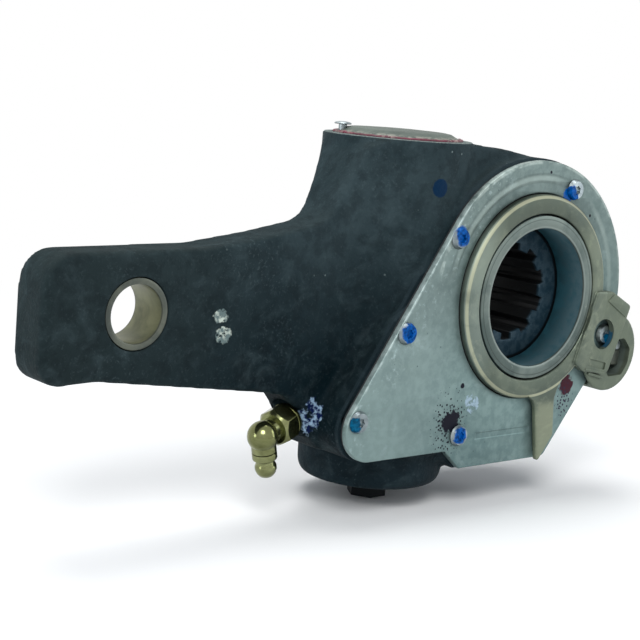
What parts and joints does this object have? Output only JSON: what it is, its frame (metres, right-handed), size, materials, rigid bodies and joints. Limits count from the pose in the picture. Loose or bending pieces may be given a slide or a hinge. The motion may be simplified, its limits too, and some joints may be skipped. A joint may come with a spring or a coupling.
{
  "type": "brake slack adjuster",
  "caption": "Self-adjusting brake lever: painted cast arm with bushed eye, worm boss with end cap, bolted zinc cover, splined hub, pivoting control arm with pointer and elbow grease nipple.",
  "frame": {"origin": "on the axis of the splined bore, in the middle plane of the lever arm", "axes": "+Y runs along the splined bore from the cover to the back, the lever arm points along -X, and +Z points to the end cap"},
  "size_m": [0.2208, 0.0536, 0.117],
  "materials": {
    "painted_iron": "dark blue-grey paint on cast iron",
    "cover_zinc": "zinc plated sheet steel, satin",
    "arm_zinc": "olive zinc plated steel, satin",
    "bright_steel": "bright steel",
    "gear_steel": "machined gear steel",
    "dark_steel": "black oxide steel",
    "bronze": "sintered bronze",
    "yellow_zinc": "yellow passivated zinc",
    "cap_steel": "dull pressed steel",
    "red_sealant": "dark red thread sealant",
    "rubber": "black nitrile",
    "gasket_paper": "grey gasket paper"
  },
  "bodies": {
    "housing": {"housing": "painted_iron", "clevis_bush": "bronze", "cover": "cover_zinc", "cover_gasket": "gasket_paper", "cover_screw_1": "bright_steel", "cover_screw_2": "bright_steel", "cover_screw_3": "bright_steel", "cover_screw_4": "bright_steel", "cover_screw_5": "bright_steel", "cover_screw_6": "bright_steel", "end_cap": "cap_steel", "cap_sealant": "red_sealant", "cap_stud": "bright_steel", "worm_spring": "dark_steel", "spring_washer": "dark_steel", "worm_bearing": "bright_steel", "pinion_washer": "bright_steel", "worm_bush": "bronze", "shaft_seal": "rubber", "rear_seal": "rubber", "rack_spring": "bright_steel", "nipple_adapter": "yellow_zinc", "nipple_head": "yellow_zinc", "nipple_check_ball": "bright_steel"},
    "worm_wheel": {"worm_wheel": "gear_steel", "hub_seal": "rubber"},
    "worm": {"worm_shaft": "gear_steel", "worm_coupling": "bright_steel"},
    "clutch": {"clutch_pinion": "gear_steel", "clutch_spring": "bright_steel"},
    "control_arm": {"control_arm": "arm_zinc", "control_disc": "bright_steel", "lug_block": "bronze", "lug_pin": "bright_steel", "ring_seal": "rubber"},
    "rack": {"rack": "gear_steel"}
  },
  "joints": [
    {"name": "wheel_turn", "type": "hinge", "parent": "housing", "child": "worm_wheel", "pos_m": [0, 0, 0], "axis": [0, 1, 0], "continuous": true},
    {"name": "worm_turn", "type": "hinge", "parent": "housing", "child": "worm", "pos_m": [-0.0394, 0.006, 0], "axis": [0, 0, 1], "continuous": true},
    {"name": "control_arm_swing", "type": "hinge", "parent": "housing", "child": "control_arm", "pos_m": [0, 0, 0], "axis": [0, 1, 0], "range_deg": [-20, 3]},
    {"name": "rack_slide", "type": "slide", "parent": "housing", "child": "rack", "axis": [1, 0, 0], "range_m": [-0.00193, 0.01279], "deforming": ["rack_spring"]},
    {"name": "clutch_turn", "type": "hinge", "parent": "housing", "child": "clutch", "pos_m": [-0.0394, 0.006, 0], "axis": [0, 0, 1], "range_deg": [-9.2, 61.1]}
  ],
  "couplings": [
    {"joint": "worm_turn", "follows": "wheel_turn", "ratio": -24},
    {"joint": "rack_slide", "follows": "control_arm_swing", "m_per_rad": -0.0366},
    {"joint": "clutch_turn", "follows": "control_arm_swing", "ratio": -3.05}
  ]
}
